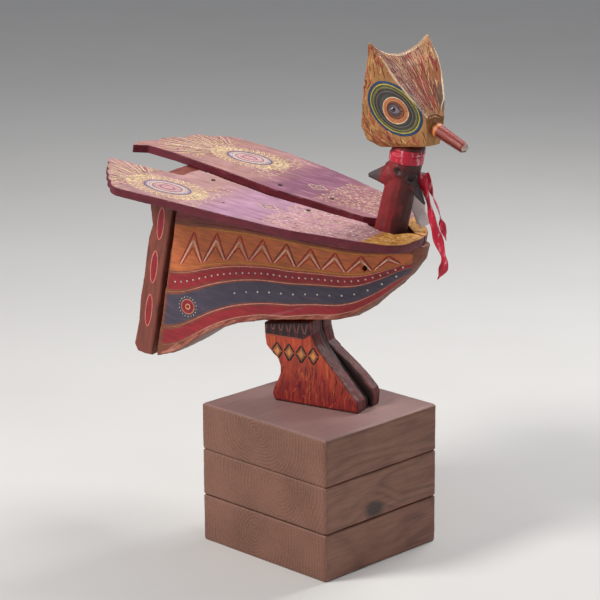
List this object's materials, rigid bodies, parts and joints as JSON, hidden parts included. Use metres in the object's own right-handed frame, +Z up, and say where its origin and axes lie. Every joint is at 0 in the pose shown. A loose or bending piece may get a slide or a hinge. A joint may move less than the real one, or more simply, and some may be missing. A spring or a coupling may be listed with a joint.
{
  "type": "painted wooden bird sculpture on a timber plinth",
  "caption": "Folk-art bird of carved and painted boards and a branch, with spread wings, an owl-like horned head and a ribbon, standing on one leg on a stacked timber plinth.",
  "frame": {"origin": "middle of the plinth's underside", "axes": "+Z up, +X where the bird's body points, +Y to the bird's left; the plinth is turned 14.5 degrees about Z and the body and wings are pitched 8.5 degrees nose down"},
  "size_m": [0.5881, 0.362, 0.748],
  "materials": {
    "plinth_timber": "planed and stained, matt",
    "bare_dowel": "turned, bare",
    "steel": "dull, slightly rusted",
    "leg_paint": "brushed red and orange paint over grain, satin",
    "leg_core_stain": "dark stain, matt",
    "body_paint": "painted ornament over carved wood, satin",
    "wing_paint": "thin mauve paint with drawn ornament, matt",
    "neck_paint": "red paint on a natural branch, satin",
    "head_paint": "tan ground with red brush strokes, satin",
    "beak_paint": "red paint on a twig, satin",
    "eye_gloss": "glossy black",
    "crimson_ribbon": "satin ribbon",
    "white_cloth": "thin cotton with red edge lines"
  },
  "bodies": {
    "root": {"plinth_beam_bottom": "plinth_timber", "plinth_beam_middle": "plinth_timber", "plinth_beam_top": "plinth_timber", "plinth_dowel_left": "bare_dowel", "plinth_dowel_right": "bare_dowel", "foot_stud_front": "steel", "foot_stud_rear": "steel", "leg_slab_right": "leg_paint", "leg_slab_left": "leg_paint", "leg_core": "leg_core_stain", "leg_peg_upper": "bare_dowel", "leg_peg_lower": "bare_dowel", "body_block": "body_paint", "tail_slat": "body_paint", "tail_dowel_upper": "bare_dowel", "tail_dowel_lower": "bare_dowel", "wing_right": "wing_paint", "wing_left": "wing_paint", "nail_right_front": "steel", "nail_right_rear": "steel", "nail_left_front": "steel", "nail_left_rear": "steel", "neck_branch": "neck_paint", "head_dowel": "bare_dowel", "head_block": "head_paint", "beak_twig": "beak_paint", "eye_bead_right": "eye_gloss", "eye_bead_left": "eye_gloss", "ribbon_wrap": "crimson_ribbon", "ribbon_tail_red": "crimson_ribbon", "ribbon_tail_thin": "crimson_ribbon", "ribbon_tail_white": "white_cloth"}
  },
  "joints": []
}
